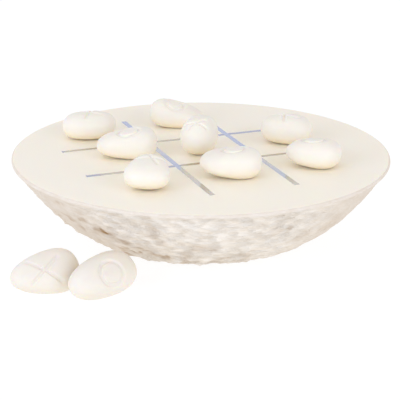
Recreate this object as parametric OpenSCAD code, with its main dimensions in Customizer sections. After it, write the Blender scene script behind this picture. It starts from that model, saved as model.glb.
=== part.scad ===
// Tic-tac-toe set in pale limestone: a hewn bowl-shaped board with a honed playing face,
// four steel strips let into it as the grid, and ten river-stone pieces with carved marks.
// Eight pieces stand on the board and two lie on the table against each other.
// Origin: the middle of the flat foot. +Z is up, and the player sits at -Y.

/* [Board] */
// Radius of the board at its widest, just under the playing face
board_radius = 175; // [160:1:200]
// Height from the flat foot to the playing face
board_height = 79; // [70:1:95]
// Radius of the soft round along the rim
rim_round = 2; // [1.5:0.5:4]
// Height of the smooth band that is left under the rim
smooth_band = 6; // [5.5:0.5:14]
// Radius of the flat foot
foot_radius = 88; // [80:1:94]

/* [Hewn underside] */
// Points around each row of tool marks, a multiple of three
hewn_columns = 108; // [72:3:132]
// Rows of tool marks between the smooth band and the foot
hewn_rows = 15; // [10:1:18]
// Least and greatest depth of the ridges between two tool marks
ridge_depth = [0.9, 1.8]; // [0.8:0.1:2.4]
// Least and greatest depth of the tool marks
chip_depth = [2.4, 4.8]; // [2:0.1:7]
// How far a point may stray from its even place, as a share of the spacing
stray = 0.5; // [0:0.05:0.6]

/* [Grid strips] */
// Width of a strip
strip_width = 5; // [4:0.5:8]
// Thickness of a strip
strip_thickness = 3; // [2:0.5:4]
// Length of a strip
strip_length = 240; // [200:5:250]
// Distance between the two strips that run away from the player
gap_across = 79; // [70:1:85]
// Distance between the two strips that cross them
gap_deep = 77; // [70:1:85]
// Turn of the grid from square with the player
grid_turn = 21.3; // [0:0.1:45]
// Middle of the nine squares on the playing face
grid_centre = [1.5, 7.5]; // [-10:0.5:10]
// How far each strip sits off the middle of the squares, along its own length
strip_slip = 5; // [0:0.5:8]
// Thickness of the cement bed under the strips
bed_thickness = 0.4; // [0.2:0.1:0.8]

/* [Carved marks] */
// Width of a carved groove
groove_width = 5; // [3:0.1:5]
// Depth of a carved groove
groove_depth = 1.4; // [0.6:0.1:2]
// How much of the underside is worn flat where a stone sits
rest_wear = 0.8; // [0.6:0.1:1.2]

/* [Stone X1] */
// Place of the stone across and away from the player
x1_place = [-107, 47]; // [-110:0.5:110]
// Turn about the upright, rise of its far end, and lean towards the player
x1_turn = [1, 2, 0]; // [-90:1:90]
// Length, width and height
x1_size = [51.5, 41, 25.5]; // [24:0.5:70]
// How much wider and how much taller its far end is
x1_taper = [0.01, -0.01]; // [-0.35:0.01:0.35]
// Squareness of its outline, where 2 is an ellipse
x1_square = 2.5; // [2:0.1:2.8]
// Where the strokes cross, as a share of the way to its far end and to its side
x1_mark = [0.03, 0.14]; // [-0.6:0.01:0.6]
// Heading of the first stroke, and the angle from it to the second
x1_strokes = [78, 72]; // [40:1:140]
// Length of each arm of its X from where the strokes cross
x1_arm = 18; // [14:0.5:21]

/* [Stone X2] */
// Place of the stone across and away from the player
x2_place = [-1, -2]; // [-110:0.5:110]
// Turn about the upright, rise of its far end, and lean towards the player
x2_turn = [76, -3, -1]; // [-90:1:90]
// Length, width and height
x2_size = [51.5, 34, 36]; // [24:0.5:70]
// How much wider and how much taller its far end is
x2_taper = [-0.08, 0.05]; // [-0.35:0.01:0.35]
// Squareness of its outline, where 2 is an ellipse
x2_square = 2.2; // [2:0.1:2.8]
// Where the strokes cross, as a share of the way to its far end and to its side
x2_mark = [-0.58, 0.03]; // [-0.6:0.01:0.6]
// Heading of the first stroke, and the angle from it to the second
x2_strokes = [82, 58]; // [40:1:140]
// Length of each arm of its X from where the strokes cross
x2_arm = 14; // [14:0.5:21]

/* [Stone X3] */
// Place of the stone across and away from the player
x3_place = [81, 34]; // [-110:0.5:110]
// Turn about the upright, rise of its far end, and lean towards the player
x3_turn = [-7, -1, 0]; // [-90:1:90]
// Length, width and height
x3_size = [49.5, 40, 27.5]; // [24:0.5:70]
// How much wider and how much taller its far end is
x3_taper = [0.06, 0.04]; // [-0.35:0.01:0.35]
// Squareness of its outline, where 2 is an ellipse
x3_square = 2.4; // [2:0.1:2.8]
// Where the strokes cross, as a share of the way to its far end and to its side
x3_mark = [-0.11, 0.12]; // [-0.6:0.01:0.6]
// Heading of the first stroke, and the angle from it to the second
x3_strokes = [92, 62]; // [40:1:140]
// Length of each arm of its X from where the strokes cross
x3_arm = 18; // [14:0.5:21]

/* [Stone X4] */
// Place of the stone across and away from the player
x4_place = [-45, -101]; // [-110:0.5:110]
// Turn about the upright, rise of its far end, and lean towards the player
x4_turn = [83, 1, 0]; // [-90:1:90]
// Length, width and height
x4_size = [48.5, 38, 27]; // [24:0.5:70]
// How much wider and how much taller its far end is
x4_taper = [-0.31, 0.14]; // [-0.35:0.01:0.35]
// Squareness of its outline, where 2 is an ellipse
x4_square = 2.4; // [2:0.1:2.8]
// Where the strokes cross, as a share of the way to its far end and to its side
x4_mark = [0.14, -0.14]; // [-0.6:0.01:0.6]
// Heading of the first stroke, and the angle from it to the second
x4_strokes = [100, 108]; // [40:1:140]
// Length of each arm of its X from where the strokes cross
x4_arm = 16; // [14:0.5:21]

/* [Stone X5, on the table] */
// Heading of the stone from the middle of the board
x5_heading = 228; // [220:0.5:230]
// How far the middle of the stone lies outside the rim
x5_outside = 22; // [20:0.5:60]
// Turn about the upright, rise of its far end, and lean towards the player
x5_turn = [25, 2, 46]; // [-90:1:90]
// Length, width and height
x5_size = [62, 37.5, 29.5]; // [24:0.5:70]
// How much wider and how much taller its far end is
x5_taper = [0.29, 0.05]; // [-0.35:0.01:0.35]
// Squareness of its outline, where 2 is an ellipse
x5_square = 2.3; // [2:0.1:2.8]
// Where the strokes cross, as a share of the way to its far end and to its side
x5_mark = [-0.13, -0.15]; // [-0.6:0.01:0.6]
// Heading of the first stroke, and the angle from it to the second
x5_strokes = [134, 84]; // [40:1:140]
// Length of each arm of its X from where the strokes cross
x5_arm = 18; // [14:0.5:21]

/* [Stone O1] */
// Place of the stone across and away from the player
o1_place = [-68, -14.5]; // [-110:0.5:110]
// Turn about the upright, rise of its far end, and lean towards the player
o1_turn = [-2, 4, -1]; // [-90:1:90]
// Length, width and height
o1_size = [56, 39, 26]; // [24:0.5:70]
// How much wider and how much taller its far end is
o1_taper = [0.03, 0.32]; // [-0.35:0.01:0.35]
// Squareness of its outline, where 2 is an ellipse
o1_square = 2.7; // [2:0.1:2.8]
// Middle of the ring, as a share of the way to its far end and to its side
o1_mark = [0.11, -0.2]; // [-0.6:0.01:0.6]
// Radius of its O, to the middle of the groove
o1_ring = 10.3; // [8:0.1:11.5]

/* [Stone O2] */
// Place of the stone across and away from the player
o2_place = [-24, 87.5]; // [-110:0.5:110]
// Turn about the upright, rise of its far end, and lean towards the player
o2_turn = [4, -10, 8]; // [-90:1:90]
// Length, width and height
o2_size = [54, 35.5, 24.5]; // [24:0.5:70]
// How much wider and how much taller its far end is
o2_taper = [-0.04, -0.32]; // [-0.35:0.01:0.35]
// Squareness of its outline, where 2 is an ellipse
o2_square = 2.4; // [2:0.1:2.8]
// Middle of the ring, as a share of the way to its far end and to its side
o2_mark = [-0.16, -0.17]; // [-0.6:0.01:0.6]
// Radius of its O, to the middle of the groove
o2_ring = 9.8; // [8:0.1:11.5]

/* [Stone O3] */
// Place of the stone across and away from the player
o3_place = [101.5, -40]; // [-110:0.5:110]
// Turn about the upright, rise of its far end, and lean towards the player
o3_turn = [-19, 0, -4]; // [-90:1:90]
// Length, width and height
o3_size = [50.5, 43, 26]; // [24:0.5:70]
// How much wider and how much taller its far end is
o3_taper = [0, 0.19]; // [-0.35:0.01:0.35]
// Squareness of its outline, where 2 is an ellipse
o3_square = 2.4; // [2:0.1:2.8]
// Middle of the ring, as a share of the way to its far end and to its side
o3_mark = [0.01, 0]; // [-0.6:0.01:0.6]
// Radius of its O, to the middle of the groove
o3_ring = 10.6; // [8:0.1:11.5]

/* [Stone O4] */
// Place of the stone across and away from the player
o4_place = [26.5, -70]; // [-110:0.5:110]
// Turn about the upright, rise of its far end, and lean towards the player
o4_turn = [-5, 0, -2]; // [-90:1:90]
// Length, width and height
o4_size = [56, 43.5, 25.5]; // [24:0.5:70]
// How much wider and how much taller its far end is
o4_taper = [-0.08, 0.28]; // [-0.35:0.01:0.35]
// Squareness of its outline, where 2 is an ellipse
o4_square = 2.5; // [2:0.1:2.8]
// Middle of the ring, as a share of the way to its far end and to its side
o4_mark = [0.09, -0.02]; // [-0.6:0.01:0.6]
// Radius of its O, to the middle of the groove
o4_ring = 10.6; // [8:0.1:11.5]

/* [Stone O5, on the table] */
// Heading of the stone from the middle of the board
o5_heading = 241.8; // [241:0.1:260]
// How far the middle of the stone lies outside the rim
o5_outside = -0.3; // [-1:0.1:20]
// Turn about the upright, rise of its far end, and lean towards the player
o5_turn = [38, 6, 44]; // [-90:1:90]
// Length, width and height
o5_size = [64.5, 37.5, 32]; // [24:0.5:70]
// How much wider and how much taller its far end is
o5_taper = [0.14, -0.09]; // [-0.35:0.01:0.35]
// Squareness of its outline, where 2 is an ellipse
o5_square = 2.3; // [2:0.1:2.8]
// Middle of the ring, as a share of the way to its far end and to its side
o5_mark = [0.04, -0.26]; // [-0.6:0.01:0.6]
// Radius of its O, to the middle of the groove
o5_ring = 11; // [8:0.1:11.5]

/* [Hidden] */

limestone = "#F1EBDD";
pebble_cream = "#F6F1E6";
steel = "#AEB6C2";
cement = "#9A958B";

// The bowl is part of a ball that rolls into the round of the rim without an edge. Its
// centre is on the axis, as far from the centre of that round as from a circle in the
// foot's plane a little wider than the foot.
foot_margin = 4;
rim_centre = [board_radius - rim_round, board_height - rim_round];
bowl_centre = (rim_centre * rim_centre - pow(foot_radius + foot_margin, 2)) / (2 * rim_centre.y);
bowl_radius = norm([foot_radius + foot_margin, bowl_centre]) + rim_round;

// Angles at the ball's centre, from straight down out to the smooth band and to the foot
band_angle = acos((bowl_centre - board_height + smooth_band) / bowl_radius);
foot_angle = atan(foot_radius / bowl_centre);
foot_cut = bowl_radius - norm([foot_radius, bowl_centre]);

// The hewn surface stands proud of the ball by this much along the band, and its body
// runs past the playing face and the foot, so both are cut clean by the turned blank.
proud = 0.9;
overrun = 6;

function fraction(v) = v - floor(v);

// A number from 0 to 1 that looks random but is the same every time
function chance(i, j, k) = fraction(sin(i * 127.1 + j * 311.7 + k * 74.7) * 43758.5453);
function between(limits, share) = limits[0] + (limits[1] - limits[0]) * share;

// A point on the ball, sunk below it, at a heading around the board
function on_bowl(angle, heading, sunk) =
    let (r = (bowl_radius - sunk) * sin(angle))
    [r * cos(heading), r * sin(heading), bowl_centre - (bowl_radius - sunk) * cos(angle)];

// The tool marks are six-sided scoops on a triangular lattice: one point in three is the
// low middle of a scoop, and the six points around it lie on the ridges.
function is_scoop(i, j) = (i - (j - j % 2) / 2 - j + 3 * hewn_columns) % 3 == 0;

function hewn_point(i, j) =
    let (
        w = i % hewn_columns,
        sideways = stray * (chance(w, j, 1) - 0.5),
        downways = stray * (chance(w, j, 2) - 0.5),
        heading = 360 * (w + (j % 2) / 2 + sideways) / hewn_columns,
        share = min((j + downways) / hewn_rows, 1),
        angle = band_angle + (foot_angle - band_angle) * share,
        depth = between(is_scoop(w, j) ? chip_depth : ridge_depth, chance(w, j, 3)),
        // Rough trimming around the foot takes the last of the ball away.
        trim = foot_cut * pow(share, 8)
    )
    on_bowl(angle, heading, j == 0 ? -proud : depth + trim);

function ring_at(radius, height, shift) = [
    for (i = [0:hewn_columns - 1])
        let (heading = 360 * (i + shift) / hewn_columns)
        [radius * cos(heading), radius * sin(heading), height]
];

// Two triangles for each step of the band between ring a and ring b, where b is shifted on
// by half a step when lead is 0 and back by half a step when lead is 1
function lattice_faces(a, b, n, lead) = [
    for (i = [0:n - 1])
        let (k = (i + 1) % n)
        each lead == 0
            ? [[a + i, b + i, a + k], [a + k, b + i, b + k]]
            : [[a + i, b + i, b + k], [a + i, b + k, a + k]]
];

// The stone as it is left by the point and chisel, before the rim and foot are dressed
module hewn_mass() {
    top = ring_at(board_radius + overrun, board_height + overrun, 0.5);
    rows = [for (j = [0:hewn_rows]) [for (i = [0:hewn_columns - 1]) hewn_point(i, j)]];
    last = ring_at(foot_radius - overrun, -overrun, (hewn_rows + 1) % 2 / 2);
    rings = concat([top], rows, [last]);
    count = len(rings);
    points = concat([for (r = rings) each r], [[0, 0, board_height + overrun], [0, 0, -overrun]]);
    sides = [
        for (r = [0:count - 2])
            each lattice_faces(r * hewn_columns, (r + 1) * hewn_columns, hewn_columns, (r + 1) % 2)
    ];
    peak = count * hewn_columns;
    base = (count - 1) * hewn_columns;
    lid = [for (i = [0:hewn_columns - 1]) [peak, i, (i + 1) % hewn_columns]];
    floor_fan = [for (i = [0:hewn_columns - 1]) [peak + 1, base + (i + 1) % hewn_columns, base + i]];
    polyhedron(points = points, faces = [for (f = concat(sides, lid, floor_fan)) [f[0], f[2], f[1]]]);
}

// The blank with its honed face, rounded rim, smooth band and sawn foot
module dressed_blank() {
    across = rim_centre - [0, bowl_centre];
    beyond = rim_centre + across * 0.2;
    rotate_extrude($fn = 180) {
        intersection() {
            translate([0, bowl_centre]) circle(r = bowl_radius);
            polygon([
                [0, 0], [beyond.x, 0], beyond, rim_centre, [rim_centre.x, board_height],
                [0, board_height]
            ]);
        }
        translate(rim_centre) circle(r = rim_round, $fn = 48);
    }
}

// Where the four strips lie, as rows of [turn, offset across the strip]
away_offset = gap_across / 2;
cross_offset = gap_deep / 2;

module on_grid(height) {
    translate([grid_centre.x, grid_centre.y, height]) rotate(grid_turn) children();
}

// A bar that runs away from the player, at an offset to one side
module away_bar(offset, width, thickness) {
    translate([offset - width / 2, -strip_slip - strip_length / 2, 0])
        cube([width, strip_length, thickness]);
}

// A bar that crosses in front of the player, at an offset away from the player
module cross_bar(offset, width, thickness) {
    translate([-strip_slip - strip_length / 2, offset - width / 2, 0])
        cube([strip_length, width, thickness]);
}

module four_bars(thickness) {
    for (side = [-1, 1]) {
        away_bar(side * away_offset, strip_width, thickness);
        cross_bar(side * cross_offset, strip_width, thickness);
    }
}

channel_floor = board_height - strip_thickness - bed_thickness;
strip_floor = board_height - strip_thickness;
lap = strip_thickness / 2;

module board() {
    color(limestone)
        difference() {
            intersection() {
                dressed_blank();
                hewn_mass();
            }
            on_grid(channel_floor) four_bars(strip_thickness + bed_thickness + 1);
        }
}

// The thin bed of cement that holds the strips down in their channels
module strip_bedding() {
    color(cement)
        on_grid(channel_floor) four_bars(bed_thickness);
}

// The strips are halved into each other where they cross. Those that run away from the
// player stay whole at the surface, and the crossing ones pass under them.
module away_strip(side) {
    color(steel)
        on_grid(strip_floor)
            difference() {
                away_bar(side * away_offset, strip_width, strip_thickness);
                for (other = [-1, 1])
                    translate([0, 0, -lap]) cross_bar(other * cross_offset, strip_width, 2 * lap);
            }
}

module cross_strip(side) {
    color(steel)
        on_grid(strip_floor)
            difference() {
                cross_bar(side * cross_offset, strip_width, strip_thickness);
                for (other = [-1, 1])
                    translate([0, 0, lap]) away_bar(other * away_offset, strip_width, 2 * lap);
            }
}

// A stone is a rounded block whose level sections are squared ovals. Its far end, at +X in
// its own frame, is wider and taller by its taper. This is 1 all along its widest outline.
function outline(x, y, half, taper, square) =
    let (wide = half.y * (1 + taper.x * max(-1, min(1, x / half.x))))
    pow(abs(x / half.x), square) + pow(abs(y / wide), square);

function crown(x, y, half, taper, square) =
    let (rest = max(0, 1 - outline(x, y, half, taper, square)))
    half.z * (1 + taper.y * max(-1, min(1, x / half.x))) * pow(rest, 1 / square);

// Distance from the mark to the widest outline along a heading, found by halving
function reach(heading, mark, half, taper, square, low = 0, high = 100, steps = 24) =
    steps == 0 ? low :
    let (
        middle = (low + high) / 2,
        x = mark.x + middle * cos(heading),
        y = mark.y + middle * sin(heading)
    )
    outline(x, y, half, taper, square) > 1
        ? reach(heading, mark, half, taper, square, low, middle, steps - 1)
        : reach(heading, mark, half, taper, square, middle, high, steps - 1);

// Rings between the mark and the widest outline, and below it
flank_rings = 5;
under_rings = 4;

// Moves a point straight towards the middle of the stone
function carved(p, depth) = p * (1 - depth / norm(p));

// One point on top of the stone: along a heading from the mark, carved to a depth
function top_point(heading, radius, depth, form) =
    let (
        x = form[0].x + radius * cos(heading),
        y = form[0].y + radius * sin(heading)
    )
    carved([x, y, crown(x, y, form[1], form[2], form[3])], depth);

function under_point(heading, radius, form) =
    let (
        x = form[0].x + radius * cos(heading),
        y = form[0].y + radius * sin(heading)
    )
    [x, y, -crown(x, y, form[1], form[2], form[3])];

function reach_of(heading, form) = reach(heading, form[0], form[1], form[2], form[3]);

// Rings outside the mark, closing up towards the widest outline, then those underneath
function flank(headings, edge, form) = [
    for (k = [1:flank_rings]) [
        for (h = headings)
            let (full = reach_of(h, form), start = min(edge, 0.9 * full))
            top_point(h, start + (full - start) * sin(90 * k / flank_rings), 0, form)
    ]
];

function underside(headings, form) = [
    for (k = [1:under_rings]) [
        for (h = headings)
            under_point(h, reach_of(h, form) * cos(90 * k / (under_rings + 1)), form)
    ]
];

// The carved O: rings of points that follow the two lips and the bottom of its groove
o_headings = [for (i = [0:29]) i * 12];

function o_top(radius, form) =
    let (
        inner = radius - groove_width / 2,
        outer = radius + groove_width / 2,
        rings = [[0.5 * inner, 0], [inner, 0], [radius, groove_depth], [outer, 0]]
    )
    [
        for (ring = rings) [
            for (h = o_headings)
                let (keep_in = min(1, 0.9 * reach_of(h, form) / outer))
                top_point(h, ring[0] * keep_in, ring[1], form)
        ]
    ];

// The carved X: headings of the four arms, each with the two lips of its groove beside it,
// and steps of about 18 degrees over the gap to the next arm
function gap_after(arm, strokes) = arm % 2 == 0 ? strokes[1] : 180 - strokes[1];
function gap_steps(arm, strokes) = round(gap_after(arm, strokes) / 18);

function x_headings(radius, strokes) =
    let (lip = asin(min(0.95, groove_width / 2 / radius)))
    [
        for (arm = [0:3])
            let (
                h = strokes[0] + (arm % 2) * strokes[1] + floor(arm / 2) * 180,
                steps = gap_steps(arm, strokes)
            )
            each concat(
                [h - lip, h],
                [for (s = [0:steps - 1]) h + lip + (gap_after(arm, strokes) - 2 * lip) * s / steps]
            )
    ];

// 1 for the bottom line of each arm, the second heading of its group, and 0 for the rest
function x_bottoms(strokes) = [
    for (arm = [0:3])
        each concat([0, 1], [for (s = [1:gap_steps(arm, strokes)]) 0])
];

function x_top(strokes, arm, form) =
    let (
        narrow = min(gap_after(0, strokes), gap_after(1, strokes)),
        crossing = groove_width / 2 / sin(0.42 * narrow),
        run_out = arm - 0.7 * groove_width,
        rings = [[crossing, 1], [(crossing + run_out) / 2, 1], [run_out, 1], [arm, 0]],
        bottoms = x_bottoms(strokes)
    )
    [
        for (ring = rings)
            let (headings = x_headings(ring[0], strokes))
            [
                for (i = [0:len(headings) - 1])
                    let (keep_in = min(1, 0.88 * reach_of(headings[i], form) / arm))
                    top_point(headings[i], ring[0] * keep_in,
                              ring[1] * bottoms[i] * groove_depth, form)
            ]
    ];

// Leans, raises and turns a point of a stone from its own frame into the board's
function laid(p, turn) =
    let (
        leant = [p.x, p.y * cos(turn[2]) - p.z * sin(turn[2]), p.y * sin(turn[2]) + p.z * cos(turn[2])],
        raised = [leant.x * cos(turn[1]) - leant.z * sin(turn[1]), leant.y,
                  leant.x * sin(turn[1]) + leant.z * cos(turn[1])]
    )
    [raised.x * cos(turn[0]) - raised.y * sin(turn[0]),
     raised.x * sin(turn[0]) + raised.y * cos(turn[0]), raised.z];

// Closes the rings of a stone with a point at the mark and one underneath, lays the stone
// in its pose, and wears its lowest side flat on the surface that carries it
module stone_body(rings, crest, form, turn) {
    n = len(rings[0]);
    low_point = under_point(0, 0, form);
    shape = concat([for (r = rings) each r], [crest, low_point]);
    posed = [for (p = shape) laid(p, turn)];
    lowest = min([for (p = posed) p.z]) + rest_wear;
    points = [for (p = posed) [p.x, p.y, max(0, p.z - lowest)]];
    count = len(rings);
    sides = [
        for (r = [0:count - 2], i = [0:n - 1])
            let (a = r * n + i, b = r * n + (i + 1) % n)
            each [[a, b, b + n], [a, b + n, a + n]]
    ];
    cap = [for (i = [0:n - 1]) [count * n, (i + 1) % n, i]];
    heel = [for (i = [0:n - 1]) [count * n + 1, (count - 1) * n + i, (count - 1) * n + (i + 1) % n]];
    polyhedron(points = points, faces = concat(sides, cap, heel));
}

// A place on the table, from its heading and its distance outside the rim
function off_board(heading, outside) =
    (board_radius + outside) * [cos(heading), sin(heading)];

// Moves a stone to its place on a level
module placed(place, level) {
    translate([place.x, place.y, level]) children();
}

// Everything that shapes a stone: its mark's place, half sizes, tapers and squareness
function stone_form(size, taper, square, mark) =
    [[mark.x * size.x / 2, mark.y * size.y / 2], size / 2, taper, square];

module x_stone(turn, form, strokes, arm) {
    outer = x_headings(arm, strokes);
    crest = top_point(0, 0, groove_depth, form);
    rings = concat(x_top(strokes, arm, form), flank(outer, arm, form), underside(outer, form));
    color(pebble_cream) stone_body(rings, crest, form, turn);
}

module o_stone(turn, form, radius) {
    edge = radius + groove_width / 2;
    crest = top_point(0, 0, 0, form);
    rings = concat(o_top(radius, form), flank(o_headings, edge, form), underside(o_headings, form));
    color(pebble_cream) stone_body(rings, crest, form, turn);
}

module left_strip() { away_strip(-1); }
module right_strip() { away_strip(1); }
module far_strip() { cross_strip(1); }
module near_strip() { cross_strip(-1); }

module x_stone_1() {
    form = stone_form(x1_size, x1_taper, x1_square, x1_mark);
    placed(x1_place, board_height) x_stone(x1_turn, form, x1_strokes, x1_arm);
}
module x_stone_2() {
    form = stone_form(x2_size, x2_taper, x2_square, x2_mark);
    placed(x2_place, board_height) x_stone(x2_turn, form, x2_strokes, x2_arm);
}
module x_stone_3() {
    form = stone_form(x3_size, x3_taper, x3_square, x3_mark);
    placed(x3_place, board_height) x_stone(x3_turn, form, x3_strokes, x3_arm);
}
module x_stone_4() {
    form = stone_form(x4_size, x4_taper, x4_square, x4_mark);
    placed(x4_place, board_height) x_stone(x4_turn, form, x4_strokes, x4_arm);
}
module x_stone_5() {
    form = stone_form(x5_size, x5_taper, x5_square, x5_mark);
    placed(off_board(x5_heading, x5_outside), 0) x_stone(x5_turn, form, x5_strokes, x5_arm);
}
module o_stone_1() {
    form = stone_form(o1_size, o1_taper, o1_square, o1_mark);
    placed(o1_place, board_height) o_stone(o1_turn, form, o1_ring);
}
module o_stone_2() {
    form = stone_form(o2_size, o2_taper, o2_square, o2_mark);
    placed(o2_place, board_height) o_stone(o2_turn, form, o2_ring);
}
module o_stone_3() {
    form = stone_form(o3_size, o3_taper, o3_square, o3_mark);
    placed(o3_place, board_height) o_stone(o3_turn, form, o3_ring);
}
module o_stone_4() {
    form = stone_form(o4_size, o4_taper, o4_square, o4_mark);
    placed(o4_place, board_height) o_stone(o4_turn, form, o4_ring);
}
module o_stone_5() {
    form = stone_form(o5_size, o5_taper, o5_square, o5_mark);
    placed(off_board(o5_heading, o5_outside), 0) o_stone(o5_turn, form, o5_ring);
}

board();
strip_bedding();
left_strip();
right_strip();
far_strip();
near_strip();
x_stone_1();
x_stone_2();
x_stone_3();
x_stone_4();
x_stone_5();
o_stone_1();
o_stone_2();
o_stone_3();
o_stone_4();
o_stone_5();
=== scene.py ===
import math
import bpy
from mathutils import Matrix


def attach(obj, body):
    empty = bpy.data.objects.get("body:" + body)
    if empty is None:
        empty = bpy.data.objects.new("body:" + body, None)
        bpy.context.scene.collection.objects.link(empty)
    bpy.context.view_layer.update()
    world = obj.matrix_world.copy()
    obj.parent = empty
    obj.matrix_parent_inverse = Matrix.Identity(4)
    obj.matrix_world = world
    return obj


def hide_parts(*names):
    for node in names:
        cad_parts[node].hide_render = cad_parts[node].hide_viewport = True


bl_info = {
    "name": "Stone Tic-Tac-Toe Board",
    "version": (1, 0, 0),
    "blender": (4, 5, 0),
    "location": "3D View > Sidebar > Stone Board",
    "description": "A hewn stone game board with strips let into its face and carved pebbles",
    "category": "Object",
}

import bpy
import numpy as np
from mathutils import Matrix, Vector
from mathutils.geometry import delaunay_2d_cdt

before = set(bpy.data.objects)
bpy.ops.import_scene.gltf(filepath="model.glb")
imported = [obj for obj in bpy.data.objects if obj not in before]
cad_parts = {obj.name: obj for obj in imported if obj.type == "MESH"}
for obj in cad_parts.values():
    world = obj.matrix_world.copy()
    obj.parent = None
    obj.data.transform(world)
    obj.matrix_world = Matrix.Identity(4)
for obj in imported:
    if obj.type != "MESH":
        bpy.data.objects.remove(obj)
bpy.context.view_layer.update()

MM = 0.001

# Ten river pebbles in the board's frame, in millimetres and degrees: place, then turn about
# the upright, rise of the far end and lean towards the player, then length, width and
# height, then how much wider and taller the far end is, the squareness of the outline, the
# mark's place as a share of the way to the far end and side, the length of a cross's arm or
# the radius of a ring, and the headings of a cross's two strokes.
X_PEBBLES = {
    "x_stone_1": (
        (-107, 47, 79), (1, 2, 0), (51.5, 41, 25.5), (0.01, -0.01), 2.5, (0.03, 0.14), 18, (78, 150)
    ),
    "x_stone_2": (
        (-1, -2, 79), (76, -3, -1), (51.5, 34, 36), (-0.08, 0.05), 2.2, (-0.58, 0.03), 14, (82, 140)
    ),
    "x_stone_3": (
        (81, 34, 79), (-7, -1, 0), (49.5, 40, 27.5), (0.06, 0.04), 2.4, (-0.11, 0.12), 18, (92, 154)
    ),
    "x_stone_4": (
        (-45, -101, 79), (83, 1, 0), (48.5, 38, 27), (-0.31, 0.14), 2.4, (0.14, -0.14), 16, (28, 100)
    ),
    "x_stone_5": (
        (-131.8, -146.4, 0), (25, 2, 46), (62, 37.5, 29.5), (0.29, 0.05), 2.3, (-0.13, -0.15), 21, (35, 138)
    ),
}
O_PEBBLES = {
    "o_stone_1": ((-68, -14.5, 79), (-2, 4, -1), (56, 39, 26), (0.03, 0.32), 2.7, (0.11, -0.2), 10.3),
    "o_stone_2": ((-24, 87.5, 79), (4, -10, 8), (54, 35.5, 24.5), (-0.04, -0.32), 2.4, (-0.16, -0.17), 9.8),
    "o_stone_3": ((101.5, -40, 79), (-19, 0, -4), (50.5, 43, 26), (0, 0.19), 2.4, (0.01, 0), 10.6),
    "o_stone_4": ((26.5, -70, 79), (-5, 0, -2), (56, 43.5, 25.5), (-0.08, 0.28), 2.5, (0.09, -0.02), 10.6),
    "o_stone_5": ((-82.6, -154, 0), (38, 6, 44), (64.5, 37.5, 32), (0.14, -0.09), 2.3, (0.04, -0.26), 11),
}

# Shares of the golden colour low down, a painted glow for the golden light bounced up under a
# pebble, and of the duller colour, a painted shade, in the pebbles on the board and in the two
# spare ones on the table
BOARD_TONES = (0.6, 0)
SPARE_TONES = (0.15, 0.35)

# How far red, green and blue light sink into the limestone, in metres
LIGHT_SINKS = (0.005, 0.0028, 0.001)

# The share of hewing at which the stone has the full colour of the break. It grows rough
# only beyond that.
FULL_BREAK = 0.6

# Smaller breaks between the tool marks: width and depth in millimetres, and a seed.
BREAKS = ((11, 1.7, 11), (6, 2, 21), (3.4, 1.4, 31))

# Rusty spots on the hewn side: heading in degrees, share of the way from rim to foot,
# radius in millimetres and strength.
IRON_SPOTS = np.array([
    (236, 0.3, 6, 1.0), (243, 0.4, 5, 0.5), (246, 0.55, 7, 0.7), (257, 0.35, 5, 0.3), (255, 0.65, 7, 0.6),
    (230, 0.2, 5, 0.5), (223, 0.25, 7, 0.5), (224, 0.05, 4, 0.3), (245, 0, 4, 0.25), (279, 0.25, 4, 0.3),
    (275, 0.45, 4, 0.3), (280, 0.65, 5, 0.35), (299, 0.2, 4, 0.35), (306, 0.1, 3, 0.25), (212, 0.3, 5, 0.4),
    (240, 0.6, 8, 0.5), (265, 0.7, 6, 0.5), (150, 0.4, 7, 0.5), (96, 0.3, 5, 0.4), (60, 0.6, 6, 0.4),
])


def length_prop(name, description, default):
    """A length in metres, given here in millimetres."""
    return bpy.props.FloatProperty(
        name=name, description=description, default=default * MM, unit="LENGTH", subtype="DISTANCE",
        precision=5,
    )


def colour_prop(name, description, default):
    """A colour, given here as an sRGB hex value and kept linear."""
    return bpy.props.FloatVectorProperty(
        name=name, description=description, default=linear(default)[:3], size=3, subtype="COLOR", min=0, max=1
    )


def linear(hex_colour):
    """The linear RGBA of an sRGB hex value."""
    values = [int(hex_colour[i : i + 2], 16) / 255 for i in (1, 3, 5)]
    return [v / 12.92 if v <= 0.04045 else ((v + 0.055) / 1.055) ** 2.4 for v in values] + [1.0]


class BoardSizes(bpy.types.PropertyGroup):
    """The bowl of stone: its turned outline and the tool marks over its underside."""

    radius: length_prop("Radius", "Radius of the board at its widest", 174.9)
    height: length_prop("Height", "Height from the foot to the playing face", 79)
    foot_radius: length_prop("Foot Radius", "Radius of the flat foot", 88)
    foot_margin: length_prop("Foot Margin", "How much wider the ball meets the foot's plane", 4)
    rim_round: length_prop("Rim Round", "Radius of the soft round along the rim", 2)
    smooth_band: length_prop("Smooth Band", "Height of the smooth band under the rim", 6)
    columns: bpy.props.IntProperty(
        name="Columns", description="Points around a row of tool marks", default=108
    )
    rows: bpy.props.IntProperty(name="Rows", description="Rows of tool marks down to the foot", default=15)
    ridge: bpy.props.FloatVectorProperty(
        name="Ridge Depth", description="Least and greatest depth between tool marks",
        default=(0.9 * MM, 1.8 * MM), size=2, unit="LENGTH", precision=5,
    )
    chip: bpy.props.FloatVectorProperty(
        name="Chip Depth", description="Least and greatest depth of the tool marks",
        default=(2.4 * MM, 4.8 * MM), size=2, unit="LENGTH", precision=5,
    )
    stray: bpy.props.FloatProperty(
        name="Stray", description="How far a tool mark strays from its even place, in spacings", default=0.5
    )
    honed: colour_prop("Honed Face", "Colour of the honed playing face", "#FDF4E2")
    hewn: colour_prop("Hewn Stone", "Colour of the hewn underside", "#F1E7D8")
    # Painted shade: the colour that the tool marks, the rim and the flanks are darkened towards
    shade_colour: colour_prop("Hollows", "Colour of the deeper tool marks", "#CDBEAB")
    stain: colour_prop("Iron Stain", "Colour of the rusty veins in the hewn stone", "#A9824F")


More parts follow.
